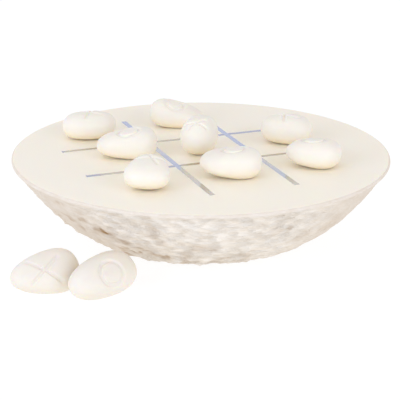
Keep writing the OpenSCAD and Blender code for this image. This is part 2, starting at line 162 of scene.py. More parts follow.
class StripSizes(bpy.types.PropertyGroup):
    """The four metal strips and the channels that are cut for them."""

    width: length_prop("Width", "Width of a strip", 5)
    length: length_prop("Length", "Length of a strip", 240)
    depth: length_prop("Channel Depth", "Depth of the channels", 3.4)
    gap_across: length_prop("Gap Across", "Between the strips that run away from the player", 79)
    gap_deep: length_prop("Gap Deep", "Between the strips that cross them", 77)
    slip: length_prop("Slip", "How far each strip sits off the middle of the squares", 5)
    centre: bpy.props.FloatVectorProperty(
        name="Centre", description="Middle of the nine squares", default=(1.5 * MM, 7.5 * MM), size=2,
        unit="LENGTH",
    )
    turn: bpy.props.FloatProperty(
        name="Turn", description="Turn of the grid", default=math.radians(21.3), unit="ROTATION",
        subtype="ANGLE",
    )
    steel: colour_prop("Steel", "Colour of the ground steel", "#CDCFD4")
    worn: colour_prop("Worn Steel", "Colour of the steel between the finest lines", "#DCDDE1")
    # Painted shade: a darker copy of the steel's colours for the two strips that run across
    shaded_cross_steel: colour_prop("Cross Steel", "Colour of the strips ground across the view", "#BEBBBB")
    shaded_cross_worn: colour_prop("Worn Cross Steel", "Their colour between the finest lines", "#CFCCCC")


class MarkSizes(bpy.types.PropertyGroup):
    """The marks that are carved in the pebbles."""

    groove_width: length_prop("Groove Width", "Width of a carved groove between its lips", 5)
    groove_depth: length_prop("Groove Depth", "Depth of a carved groove", 1.4)
    wear: length_prop("Wear", "How much of the underside is worn flat", 0.8)
    swell: length_prop("Swell", "Height of the soft lumps left by the river", 0.18)
    inset: length_prop("Inset", "How far the rounded pebble stays inside its plain solid", 0.25)
    pebble: colour_prop("Pebble", "Colour of the pebbles", "#F6F0E2")
    # Painted glow: the golden colour that stands in for bounced light low on a pebble
    painted_glow: colour_prop("Honey", "Colour of the pebbles low down", "#FFEAC0")
    # Painted shade: the darker colour that the two spare pebbles go towards
    dull: colour_prop("Dull Pebble", "Colour of the darkest pebbles", "#DDD2C6")


class PebbleShape(bpy.types.PropertyGroup):
    """One pebble: where it stands, how it leans and how it is shaped."""

    place: bpy.props.FloatVectorProperty(
        name="Place", description="Middle of the pebble and the level it stands on", default=(0, 0, 0),
        size=3, unit="LENGTH",
    )
    turn: bpy.props.FloatVectorProperty(
        name="Turn", description="Turn, rise and lean", default=(0, 0, 0), size=3, unit="ROTATION",
        subtype="EULER",
    )
    size: bpy.props.FloatVectorProperty(
        name="Size", description="Length, width and height", default=(55 * MM, 40 * MM, 27 * MM), size=3,
        unit="LENGTH",
    )
    taper: bpy.props.FloatVectorProperty(
        name="Taper", description="Widening and rise of the far end", default=(0, 0), size=2
    )
    square: bpy.props.FloatProperty(name="Squareness", description="2 gives an oval outline", default=2.4)
    mark: bpy.props.FloatVectorProperty(
        name="Mark", description="Place of the mark, in shares of a half", default=(0, 0), size=2
    )
    reach: length_prop("Reach", "Length of each arm of its cross, or radius of its ring", 10)
    # The first share is the painted glow low down, the second a painted shade
    tones: bpy.props.FloatVectorProperty(
        name="Tones", description="Shares of honey and of the duller colour", default=BOARD_TONES, size=2
    )
    strokes: bpy.props.FloatVectorProperty(
        name="Strokes", description="Headings of the cross's strokes", default=(0, math.pi / 2), size=2,
        unit="ROTATION",
    )


class StageLight(bpy.types.PropertyGroup):
    """The camera and the soft studio light."""

    camera: bpy.props.FloatVectorProperty(
        name="Camera", description="Place of the camera", default=(0, -1.27574, 0.47655), size=3,
        unit="LENGTH",
    )
    aim: bpy.props.FloatVectorProperty(
        name="Aim", description="Turn, dip and tilt of the camera",
        default=(math.radians(-0.031), math.radians(19.226), math.radians(0.228)), size=3, unit="ROTATION",
    )
    lens: bpy.props.FloatProperty(name="Lens", description="Focal length in millimetres", default=129.32)
    left: bpy.props.FloatProperty(
        name="Left", description="Power of the light in front, left", default=23, unit="POWER"
    )
    right: bpy.props.FloatProperty(
        name="Right", description="Power of the light in front, right", default=19, unit="POWER"
    )
    behind: bpy.props.FloatProperty(
        name="Behind", description="Power of the light behind, left", default=7, unit="POWER"
    )
    lamp_side: bpy.props.FloatProperty(
        name="Lamp Side", description="Side of each square light", default=1.4, unit="LENGTH"
    )
    daylight: colour_prop("Daylight", "Colour of the three lights", "#CBDDFF")
    ambient: bpy.props.FloatProperty(
        name="Ambient", description="Strength of the light all around", default=1
    )
    fill: colour_prop("Fill", "Colour and strength of the light from the room", "#E1DCD6")
    window: colour_prop("Window", "Colour and strength of the light from low down", "#D9E0FA")
    floor_glow: bpy.props.FloatProperty(
        name="Floor Glow", description="Light given off by the floor", default=0.85
    )


def chance(i, j, k):
    """A repeatable number from 0 to 1: what is left after the point of a large sine."""
    value = np.sin(np.radians(i * 127.1 + j * 311.7 + k * 74.7)) * 43758.5453
    return value - np.floor(value)


def smooth_step(low, high, value):
    """0 below low, 1 above high, and a smooth cubic in between."""
    t = np.clip((value - low) / (high - low), 0, 1)
    return t * t * (3 - 2 * t)


def lumps(points, pitch, seed):
    """Soft swell from -1 to 1: chance values on a cubic lattice, blended by smooth steps."""
    cell = points / pitch
    corner = np.floor(cell)
    part = smooth_step(0, 1, cell - corner)
    total = np.zeros(points.shape[:-1])
    for step in np.ndindex(2, 2, 2):
        share = np.prod(np.where(step, part, 1 - part), axis=-1)
        at = corner + step
        total += share * (2 * chance(at[..., 0] + 57 * at[..., 1], at[..., 2], seed) - 1)
    return total


def dishes(points, pitch, seed):
    """Round dishes strewn through space, about 0 at the ridges between them and 1 at most.

    Each cell of a cubic lattice has one dish at a chance place and of a chance size. A
    dish's depth falls with the square of the distance, and the deepest one counts.
    """
    cell = points / pitch
    corner = np.floor(cell)
    deepest = np.full(points.shape[:-1], -1.0)
    for step in np.ndindex(3, 3, 3):
        at = corner + step - 1
        key = at[..., 0] + 57 * at[..., 1], at[..., 2]
        off = cell - at - np.stack([chance(*key, seed + n) for n in range(3)], -1)
        deepest = np.maximum(deepest, 0.5 + 0.5 * chance(*key, seed + 3) - (off**2).sum(-1))
    return deepest


def grid_quads(rings, around):
    """Faces between successive closed rings of points, each turned to face outwards."""
    ring = np.arange(rings - 1)[:, None] * around
    step = np.arange(around)[None, :]
    nearby = (step + 1) % around
    corners = [ring + step, ring + around + step, ring + around + nearby, ring + nearby]
    return np.stack(corners, -1).reshape(-1, 4)


def make_mesh(name, points, faces, smooth):
    """A mesh object from point and face arrays, with a smooth flag for each face."""
    mesh = bpy.data.meshes.new(name)
    mesh.from_pydata(points.reshape(-1, 3).tolist(), [], [list(map(int, f)) for f in faces])
    mesh.polygons.foreach_set("use_smooth", np.asarray(smooth, bool))
    mesh.update()
    mesh.validate()
    piece = bpy.data.objects.new(name, mesh)
    bpy.context.scene.collection.objects.link(piece)
    return piece


def add_layers(piece, layers):
    """Gives each point of a mesh its number in every named layer, for the materials."""
    for name, values in layers.items():
        layer = piece.data.attributes.new(name, "FLOAT", "POINT")
        layer.data.foreach_set("value", values.astype(np.float32))


def add(tree, kind, inputs=None, **settings):
    """Adds a node, sets its properties, and sets or links its inputs by name or number."""
    node = tree.nodes.new(kind)
    for key, value in settings.items():
        setattr(node, key, value)
    for key, value in (inputs or {}).items():
        if isinstance(value, bpy.types.NodeSocket):
            tree.links.new(value, node.inputs[key])
        else:
            node.inputs[key].default_value = value
    return node


def fresh_material(name):
    """An empty node material and its tree, with the output node."""
    material = bpy.data.materials.new(name)
    material.use_nodes = True
    tree = material.node_tree
    tree.nodes.clear()
    return material, tree, add(tree, "ShaderNodeOutputMaterial")


def rgba(colour):
    """A colour property as four numbers."""
    return [*colour, 1.0]


# Limestone, honed on the playing face and hewn with a point below it. Honing leaves a dull
# even cream with faint clouds. Hewing leaves a rough, paler break with rusty veins in the
# hollows and coarse grains that catch the light. The break carries painted shade in its
# deeper tool marks, on the rim round and on the two flanks, and a painted highlight on its crests.
def limestone_material(board):
    material, tree, out = fresh_material("honed_and_hewn_limestone")
    place = add(tree, "ShaderNodeTexCoord").outputs["Object"]
    share = add(tree, "ShaderNodeAttribute", attribute_name="hewn_share").outputs["Fac"]
    hewn = add(tree, "ShaderNodeMapRange", {"Value": share, "From Max": FULL_BREAK}).outputs["Result"]
    vein = add(tree, "ShaderNodeAttribute", attribute_name="iron_vein").outputs["Fac"]
    # Clouds 45 mm across on the honed face
    clouds = add(tree, "ShaderNodeTexNoise", {"Vector": place, "Scale": 22, "Detail": 3}).outputs["Fac"]
    face = add(
        tree, "ShaderNodeMix", {"Factor": clouds, "A": rgba(board.honed), "B": linear("#FEF6E5")},
        data_type="RGBA",
    )
    # Breaks up to 4 mm high and 11 mm long, with finer grains inside them
    levelled = add(tree, "ShaderNodeMapping", {"Vector": place, "Scale": (0.36, 0.36, 1)}).outputs["Vector"]
    grains = add(
        tree, "ShaderNodeTexNoise", {"Vector": levelled, "Scale": 260, "Detail": 5, "Roughness": 0.78}
    )
    # Patches 17 mm across, one slightly browner than the next
    patches = add(tree, "ShaderNodeTexNoise", {"Vector": place, "Scale": 60, "Detail": 4}).outputs["Fac"]
    pale = add(
        tree, "ShaderNodeMix", {"Factor": patches, "A": rgba(board.hewn), "B": linear("#EFE1CE")},
        data_type="RGBA",
    )
    # Painted highlight: the crests of the breaks, high in the grains, are mixed towards a paler colour
    crest_highlight = add(
        tree, "ShaderNodeMapRange",
        {"Value": grains.outputs["Fac"], "From Min": 0.4, "From Max": 0.6, "To Max": 0.8},
    )
    broken = add(
        tree, "ShaderNodeMix",
        {"Factor": crest_highlight.outputs["Result"], "A": pale.outputs["Result"], "B": linear("#FAF3E9")},
        data_type="RGBA",
    )
    # Painted shade: where mark_depth is full, in the deepest tool marks, on the rim and on the flanks, the
    # colour goes a third of the way to the shade colour
    deep = add(tree, "ShaderNodeAttribute", attribute_name="mark_depth").outputs["Fac"]
    shade = add(tree, "ShaderNodeMath", {0: deep, 1: 0.35}, operation="MULTIPLY").outputs["Value"]
    worked = add(
        tree, "ShaderNodeMix",
        {"Factor": shade, "A": broken.outputs["Result"], "B": rgba(board.shade_colour)}, data_type="RGBA",
    )
    rusty = add(
        tree, "ShaderNodeMix",
        {"Factor": vein, "A": worked.outputs["Result"], "B": rgba(board.stain)}, data_type="RGBA",
    )
    colour = add(
        tree, "ShaderNodeMix",
        {"Factor": hewn, "A": face.outputs["Result"], "B": rusty.outputs["Result"]}, data_type="RGBA",
    )
    roughness = add(tree, "ShaderNodeMapRange", {"Value": hewn, "To Min": 0.5, "To Max": 0.92})
    # Light sinks in through the honed face only and comes out golden
    glow = add(tree, "ShaderNodeMapRange", {"Value": hewn, "To Min": 0.2, "To Max": 0})
    # The break is up to 3 mm deep; the honed face is left with next to none of it
    depth = add(
        tree, "ShaderNodeMapRange", {"Value": share, "From Min": FULL_BREAK, "To Min": 0.01, "To Max": 0.95}
    )
    # Chips 5 mm high and 15 mm long with sharp ridges between them, bent by the grains
    bent = add(
        tree, "ShaderNodeVectorMath", {0: grains.outputs["Color"], 1: (0.011, 0.011, 0.011), 2: levelled},
        operation="MULTIPLY_ADD",
    )
    chips = add(tree, "ShaderNodeTexVoronoi", {"Vector": bent.outputs["Vector"], "Scale": 190})
    height = add(
        tree, "ShaderNodeMath", {0: chips.outputs["Distance"], 1: 0.33, 2: grains.outputs["Fac"]},
        operation="MULTIPLY_ADD",
    )
    relief = add(
        tree, "ShaderNodeBump",
        {"Strength": depth.outputs["Result"], "Distance": 0.0029, "Height": height.outputs["Value"]},
    )
    shader = add(
        tree, "ShaderNodeBsdfPrincipled",
        {
            "Base Color": colour.outputs["Result"], "Roughness": roughness.outputs["Result"],
            "Normal": relief.outputs["Normal"], "IOR": 1.5, "Specular IOR Level": 0.3,
            "Subsurface Weight": glow.outputs["Result"], "Subsurface Radius": LIGHT_SINKS,
            "Subsurface Scale": 1.0,
        },
    )
    tree.links.new(shader.outputs["BSDF"], out.inputs["Surface"])
    return material


# Limestone pebbles, tumbled smooth by a river: a soft pale cream, almost without grain,
# that lets a little light through its thin edges.
def river_pebble_material(marks):
    material, tree, out = fresh_material("river_worn_limestone")
    place = add(tree, "ShaderNodeTexCoord").outputs["Object"]
    # Clouds 20 mm across and a dust of grains 1.5 mm across
    clouds = add(tree, "ShaderNodeTexNoise", {"Vector": place, "Scale": 50, "Detail": 3}).outputs["Fac"]
    grains = add(tree, "ShaderNodeTexNoise", {"Vector": place, "Scale": 650, "Detail": 2}).outputs["Fac"]
    body = add(
        tree, "ShaderNodeMix", {"Factor": clouds, "A": rgba(marks.pebble), "B": linear("#F1EADB")},
        data_type="RGBA",
    )
    # Painted glow: low down the colour goes towards a golden one, which stands in for golden light bounced
    # and let through under the pebble
    low = add(tree, "ShaderNodeAttribute", attribute_name="painted_glow_share").outputs["Fac"]
    warm = add(
        tree, "ShaderNodeMix", {"Factor": low, "A": body.outputs["Result"], "B": rgba(marks.painted_glow)},
        data_type="RGBA",
    )
    # Painted shade: the two spare pebbles go a share of the way to a darker colour
    dull = add(tree, "ShaderNodeAttribute", attribute_name="painted_dimming").outputs["Fac"]
    stone = add(
        tree, "ShaderNodeMix", {"Factor": dull, "A": warm.outputs["Result"], "B": rgba(marks.dull)},
        data_type="RGBA",
    )
    relief = add(tree, "ShaderNodeBump", {"Strength": 0.12, "Distance": 0.0003, "Height": grains})
    shader = add(
        tree, "ShaderNodeBsdfPrincipled",
        {
            "Base Color": stone.outputs["Result"], "Roughness": 0.48, "Normal": relief.outputs["Normal"],
            "IOR": 1.5, "Specular IOR Level": 0.35, "Subsurface Weight": 0.3,
            "Subsurface Radius": LIGHT_SINKS, "Subsurface Scale": 1.0,
        },
    )
    tree.links.new(shader.outputs["BSDF"], out.inputs["Surface"])
    return material


# Stainless steel strip, ground flush with the stone by a fine wheel: a dull sheen with
# faint lines along the strip, bright enough to mirror the pebbles and the window's blue.
def ground_steel_material(strips, along):
    material, tree, out = fresh_material("ground_stainless_steel_" + ("away" if along else "across"))
    place = add(tree, "ShaderNodeTexCoord").outputs["Object"]
    turned = add(
        tree, "ShaderNodeVectorRotate",
        {"Vector": place, "Center": (*strips.centre, 0), "Axis": (0, 0, 1), "Angle": -strips.turn},
    )
    # Grinding lines 0.5 mm apart, drawn coarser than the real 0.1 mm, and 8 mm long
    stretch = (2000, 120, 1) if along else (120, 2000, 1)
    lined = add(tree, "ShaderNodeMapping", {"Vector": turned.outputs["Vector"], "Scale": stretch})
    lines = add(tree, "ShaderNodeTexNoise", {"Vector": lined.outputs["Vector"], "Scale": 1, "Detail": 2})
    # Painted shade: the strips that run across take the darker copy of the steel's colours
    dark, light = (strips.steel, strips.worn) if along else (strips.shaded_cross_steel, strips.shaded_cross_worn)
    sheen = add(
        tree, "ShaderNodeMix", {"Factor": lines.outputs["Fac"], "A": rgba(dark), "B": rgba(light)},
        data_type="RGBA",
    )
    roughness = add(
        tree, "ShaderNodeMapRange", {"Value": lines.outputs["Fac"], "To Min": 0.17, "To Max": 0.25}
    )
    relief = add(
        tree, "ShaderNodeBump", {"Strength": 0.15, "Distance": 0.0001, "Height": lines.outputs["Fac"]}
    )
    shader = add(
        tree, "ShaderNodeBsdfPrincipled",
        {
            "Base Color": sheen.outputs["Result"], "Metallic": 1.0, "Roughness": roughness.outputs["Result"],
            "Normal": relief.outputs["Normal"],
        },
    )
    tree.links.new(shader.outputs["BSDF"], out.inputs["Surface"])
    return material


# Grey cement, trowelled thin under the strips: dull and slightly sandy.
def cement_material():
    material, tree, out = fresh_material("trowelled_cement")
    place = add(tree, "ShaderNodeTexCoord").outputs["Object"]
    # Grains of sand 1.1 mm across
    sand = add(tree, "ShaderNodeTexNoise", {"Vector": place, "Scale": 900, "Detail": 2}).outputs["Fac"]
    body = add(
        tree, "ShaderNodeMix", {"Factor": sand, "A": linear("#8F8A82"), "B": linear("#A8A39A")},
        data_type="RGBA",
    )
    shader = add(tree, "ShaderNodeBsdfPrincipled", {"Base Color": body.outputs["Result"], "Roughness": 0.9})
    tree.links.new(shader.outputs["BSDF"], out.inputs["Surface"])
    return material


def bowl_of(board):
    """The rim round's centre, the height of the ball's centre and the ball's radius."""
    rim = np.array([board.radius - board.rim_round, board.height - board.rim_round])
    reach = board.foot_radius + board.foot_margin
    centre = (rim @ rim - reach**2) / (2 * rim[1])
    return rim, centre, math.hypot(reach, centre) + board.rim_round


def bowl_angles(board):
    """Angles at the ball's centre of the rim round's end, the smooth band's end and the foot."""
    rim, centre, radius = bowl_of(board)
    tangent = math.atan2(rim[0], centre - rim[1])
    band = math.acos((centre - board.height + board.smooth_band) / radius)
    return tangent, band, math.atan(board.foot_radius / centre)


def trimmed(board, share):
    """How much the rough trimming has taken off, growing as the share's eighth power."""
    _, centre, radius = bowl_of(board)
    return (radius - math.hypot(board.foot_radius, centre)) * share**8


def mark_depth(row, column, board):
    """How deep the tool has cut: the deepest of the round dishes near a point.

    A dish lies at one point in three of a triangular lattice, moved a little by chance.
    Its depth falls with the square of the distance from its middle, in lattice spacings.
    """
    fall = (sum(board.chip) - sum(board.ridge)) / 2
    deepest = np.full(row.shape, -1.0)
    for down in range(-2, 4):
        j = np.floor(row) + down
        even = np.mod(j, 2)
        here = column - even / 2
        for over in range(-2, 4):
            i = np.floor(here) + over
            w = np.mod(i, board.columns)
            dish = np.mod(w - (j - even) / 2 - j + 3 * board.columns, 3) == 0
            off_x = here - i - board.stray * (chance(w, j, 1) - 0.5)
            off_y = row - j - board.stray * (chance(w, j, 2) - 0.5)
            depth = board.chip[0] + (board.chip[1] - board.chip[0]) * chance(w, j, 3)
            cut = depth - fall * (off_x**2 + 0.75 * off_y**2)
            deepest = np.where(dish & (j > 0), np.maximum(deepest, cut), deepest)
    return deepest


def hewn_surface(board, around, down):
    """The underside from the rim round to inside the foot, as rings of points.

    The two parameters are the heading and the angle at the ball's centre. A point lies on
    the ball, sunk by the tool marks, the trimming that grows as the eighth power of the
    way to the foot, and smaller breaks between. It is cut off level at the foot.
    """
    _, centre, radius = bowl_of(board)
    tangent, band, foot = bowl_angles(board)
    # The rings go on a little way inside the foot, where they are cut off level
    angle = np.linspace(tangent, foot - math.radians(6), down)[:, None] + np.zeros((1, around))
    heading = np.linspace(0, 2 * math.pi, around, endpoint=False)[None, :] + np.zeros((down, 1))
    out = np.stack([np.sin(angle) * np.cos(heading), np.sin(angle) * np.sin(heading), -np.cos(angle)], -1)
    ball = out * radius
    # The lattice is warped by slow swells, so that no row or column reads as a line
    row = (band - angle) / (band - foot) * board.rows + 0.6 * lumps(ball, 23 * MM, 5)
    column = heading / (2 * math.pi) * board.columns + 0.7 * lumps(ball, 19 * MM, 6)
    # A third of the coarse marks' depth is left, and the smaller breaks make up the rest
    coarse = 0.35 * mark_depth(row, column, board)
    # The breaks are drawn out level at the front. Right of it, round 312 degrees, the tool
    # ran aslant, rising to the right, and bit less.
    slant = np.array([0.64, 0.5, 0.58])
    level = ball * [0.5, 0.5, 1] + 2 * MM * lumps(ball, 12 * MM, 15)[..., None]
    aslant = ball - 0.72 * (ball @ slant)[..., None] * slant
    slanted = np.exp(-((np.degrees(heading) - 312) / 24) ** 2)
    worked = 1.1
    for way, strength in ((level, 1 - slanted), (aslant, 0.8 * slanted)):
        for pitch, depth, seed in BREAKS:
            worked = worked + depth * strength * (dishes(way, pitch * MM, seed) - 0.3)
    uneven = 0.7 + 0.5 * lumps(ball, 40 * MM, 17)
    cut = np.maximum(coarse * (1 - 0.45 * slanted) + MM * worked * uneven, 0)
    # All of it begins softly, within 1.6 degrees of the rim round
    begin = smooth_step(0, 1, (tangent - angle) / math.radians(1.6))
    share = np.clip((band - angle) / (band - foot), 0, 1)
    sunk = begin * cut + trimmed(board, share)
    points = out * (radius - sunk)[..., None]
    points[..., 2] = np.maximum(points[..., 2] + centre, 0)
    return points, sunk, share, heading


def bar_corners(strips):
    """The four channels' outlines in the board's frame, as 4 by 4 by 2 corners."""
    half, wide = strips.length / 2, strips.width / 2
    ends = np.array([[-wide, -half], [wide, -half], [wide, half], [-wide, half]])
    bars = []
    for side in (-1, 1):
        bars.append(ends + [side * strips.gap_across / 2, -strips.slip])
        bars.append((ends + [side * strips.gap_deep / 2, -strips.slip])[:, ::-1])
    c, s = math.cos(strips.turn), math.sin(strips.turn)
    turned = np.array(bars) @ np.array([[c, s], [-s, c]])
    return turned + np.array(strips.centre)


def playing_face(rim_ring, strips, top, first):
    """The level face inside the rim ring, with the channels sunk in it.

    A constrained triangulation of the rim and the channels' outlines gives flat triangles.
    Those inside a channel drop to its floor, and walls join the two levels.
    """
    bars = bar_corners(strips)
    around = len(rim_ring)
    flat = np.vstack([rim_ring[:, :2], bars.reshape(-1, 2)])
    loop = [(i, (i + 1) % around) for i in range(around)]
    sides = [(around + 4 * b + i, around + 4 * b + (i + 1) % 4) for b in range(4) for i in range(4)]
    verts, _, faces, origin, _, _ = delaunay_2d_cdt([Vector(p) for p in flat], loop + sides, [], 0, 1e-7)
    verts = np.array([tuple(v) for v in verts])
    faces = np.array([tuple(f) for f in faces])
    middle = verts[faces].mean(1)
    c, s = math.cos(strips.turn), math.sin(strips.turn)
    local = (middle - np.array(strips.centre)) @ np.array([[c, -s], [s, c]])
    aside, ahead = np.abs(local).T
    back, over = np.abs(local + strips.slip).T
    away = (np.abs(aside - strips.gap_across / 2) < strips.width / 2) & (over < strips.length / 2)
    cross = (np.abs(ahead - strips.gap_deep / 2) < strips.width / 2) & (back < strips.length / 2)
    sunk = away | cross
    # The triangulation keeps the rim's points first, so they can be shared with the rim
    index = np.array([o[0] if o and o[0] < around else -1 for o in origin])
    extra = np.flatnonzero(index < 0)
    index[extra] = first + np.arange(len(extra))
    raised = np.column_stack([verts[extra], np.full(len(extra), top)])
    low_points = np.column_stack([verts, np.full(len(verts), top - strips.depth)])
    low = first + len(extra) + np.arange(len(verts))
    used = np.zeros(len(verts), bool)
    used[faces[sunk].ravel()] = True
    low_points = low_points[used]
    low[used] = first + len(extra) + np.arange(used.sum())
    inner = faces[sunk]
    edges = np.vstack([inner[:, [0, 1]], inner[:, [1, 2]], inner[:, [2, 0]]])
    code = edges[:, 0] * len(verts) + edges[:, 1]
    border = edges[~np.isin(edges[:, 1] * len(verts) + edges[:, 0], code)]
    a, b = border[:, 0], border[:, 1]
    walls = np.column_stack([low[b], low[a], index[a], index[b]])
    return np.vstack([raised, low_points]), index[faces[~sunk]], low[inner], walls


class STONE_BOARD_OT_hewn_board(bpy.types.Operator):
    """Makes the stone bowl with its honed face, strip channels and hewn underside"""

    bl_idname = "stone_board.hewn_board"
    bl_label = "Hewn Stone Board"

    def execute(self, context):
        board, strips = context.scene.stone_board, context.scene.stone_strips
        # Points in a ring, rings of the hewn side, and rings of the rim round
        around, down, bends = 720, 96, 9
        rim, tangent = bowl_of(board)[0], bowl_angles(board)[0]
        # The rim round: an arc from level to the slope where it meets the ball
        slope = np.linspace(0, math.pi - tangent, bends)[:-1]
        heading = np.linspace(0, 2 * math.pi, around, endpoint=False)
        reach = rim[0] + board.rim_round * np.sin(slope)[:, None]
        rise = rim[1] + board.rim_round * np.cos(slope)[:, None] + 0 * heading
        round_rim = np.stack([reach * np.cos(heading), reach * np.sin(heading), rise], -1)
        under, sunk, share, turn = hewn_surface(board, around, down)
        rings = np.concatenate([round_rim, under])
        points = rings.reshape(-1, 3)
        side = grid_quads(len(rings), around)
        middle = len(points)
        last = middle - around
        foot = np.column_stack([
            np.full(around, middle), last + (np.arange(around) + 1) % around, last + np.arange(around)
        ])
        extra, top, floors, walls = playing_face(round_rim[0], strips, board.height, middle + 1)
        points = np.vstack([points, [[0, 0, 0]], extra])
        faces = [*side, *foot, *top, *floors, *walls]
        smooth = np.zeros(len(faces), bool)
        smooth[: len(side)] = True
        piece = make_mesh("hewn_board", points, faces, smooth)
        # How hewn the stone is, how much painted shade it takes and how much rust it holds
        hewn, deep, vein = np.zeros((3, len(points)))
        lip, skin = slice(len(slope) * around), slice(len(slope) * around, middle)
        # The rim round turns to the colour of the break, and then grows a little rough
        turning = FULL_BREAK * smooth_step(0, 0.6, slope) + 0.2 * smooth_step(0.6, 2, slope)
        hewn[lip] = np.repeat(turning, around)
        # Painted shade over the whole rim round
        deep[lip] = 1
        # The two flanks are calmer than the front and the back, and take more painted shade than any tool
        # mark
        flanks = [smooth_step(0.7, 0.98, np.cos(turn - math.radians(way))) for way in (200, 342)]
        flank = np.maximum(*flanks)
        hewn[skin] = (FULL_BREAK + (1 - FULL_BREAK) * (1 - 0.6 * flank)).ravel()
        cut = sunk - trimmed(board, share)
        # Painted shade: the band under the rim, the deeper tool marks and the flanks are darkened
        rim_shade = 1 - smooth_step(-0.05, 0.04, share)
        hollows = smooth_step(1.8 * MM, 4.6 * MM, cut)
        deep[skin] = np.maximum.reduce([hollows, rim_shade, 1.6 * flank]).ravel()
        vein[skin] = rust(under, cut, share, board).ravel()
        add_layers(piece, {"hewn_share": hewn, "mark_depth": deep, "iron_vein": vein})
        piece.data.materials.append(limestone_material(board))
        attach(piece, "stone_board")
        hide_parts("board")
        return {"FINISHED"}


def rust(points, cut, share, board):
    """Rust from 0 to 1: a faint wash low down, veins, and round spots broken up by swells."""
    _, centre, radius = bowl_of(board)
    _, band, foot = bowl_angles(board)
    # Degrees from the rustiest heading, at the front left
    off = np.degrees(np.arctan2(points[..., 1], points[..., 0])) + 122
    rich = 0.2 + 0.35 * np.exp(-((off / 26) ** 2))
    total = rich * smooth_step(0.1, 0.9, lumps(points, 13 * MM, 9)) * smooth_step(0, 0.3, share)
    total = total + 0.15 * np.exp(-(((off + 8) / 22) ** 2)) * smooth_step(0.1, 0.7, share)
    ragged = 0.9 + 0.7 * lumps(points, 4 * MM, 10) + 0.5 * lumps(points, 9 * MM, 12)
    for heading, way, size, strength in IRON_SPOTS:
        angle, turn = band + (foot - band) * way, math.radians(heading)
        place = radius * np.array([math.sin(angle) * math.cos(turn), math.sin(angle) * math.sin(turn), 0])
        place[2] = centre - radius * math.cos(angle)
        away = np.linalg.norm((points - place) * [0.7, 0.7, 1], axis=-1) / (size * MM)
        total = total + strength * smooth_step(0.2, 0.8, np.exp(-(away**2)) * ragged)
    return np.clip(total * (0.6 + 0.4 * smooth_step(1 * MM, 3 * MM, cut)), 0, 1)


class STONE_BOARD_OT_grid_strips(bpy.types.Operator):
    """Gives the four strips and their cement bed their finishes"""

    bl_idname = "stone_board.grid_strips"
    bl_label = "Grid Strips"

    def execute(self, context):
        strips = context.scene.stone_strips
        away, across = ground_steel_material(strips, True), ground_steel_material(strips, False)
        finishes = {
            "left_strip": away, "right_strip": away, "far_strip": across, "near_strip": across,
            "strip_bedding": cement_material(),
        }
        for node, material in finishes.items():
            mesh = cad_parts[node].data
            mesh.materials.clear()
            mesh.materials.append(material)
        return {"FINISHED"}


def outline_value(x, y, shape):
    """1 all along the pebble's widest outline, less inside it: the sum of two powers."""
    half_x, half_y = shape.size[0] / 2, shape.size[1] / 2
    wide = half_y * (1 + shape.taper[0] * np.clip(x / half_x, -1, 1))
    return np.abs(x / half_x) ** shape.square + np.abs(y / wide) ** shape.square


def crown_height(x, y, shape):
    """Height of the pebble's upper half over its middle plane, nil at the outline."""
    rest = np.maximum(1 - outline_value(x, y, shape), 0)
    tall = 1 + shape.taper[1] * np.clip(2 * x / shape.size[0], -1, 1)
    return shape.size[2] / 2 * tall * rest ** (1 / shape.square)


def outline_reach(heading, mark, shape):
    """Distance from the mark to the outline along each heading, found by halving."""
    low, high = np.zeros_like(heading), np.full_like(heading, 2 * shape.size[0])
    for _ in range(40):
        middle = (low + high) / 2
        x, y = mark[0] + middle * np.cos(heading), mark[1] + middle * np.sin(heading)
        beyond = outline_value(x, y, shape) > 1
        low, high = np.where(beyond, low, middle), np.where(beyond, middle, high)
    return low


def trough(off, marks):
    """Depth of a groove at a distance from its middle: a flat bottom and soft lips."""
    half = marks.groove_width / 2
    return marks.groove_depth * (1 - smooth_step(0.3 * half, half, np.abs(off)))


def ring_groove(x, y, marks, shape):
    """Depth of the carved ring: a trough along a circle."""
    return trough(np.hypot(x, y) - shape.reach, marks)


def cross_groove(x, y, marks, shape):
    """Depth of the carved cross: the deeper of two straight troughs with fading ends."""
    depth = 0 * x
    for heading in shape.strokes:
        along = np.abs(x * math.cos(heading) + y * math.sin(heading))
        across = y * math.cos(heading) - x * math.sin(heading)
        fade = 1 - smooth_step(shape.reach - 3.5 * MM, shape.reach, along)
        depth = np.maximum(depth, fade * trough(across, marks))
    return depth


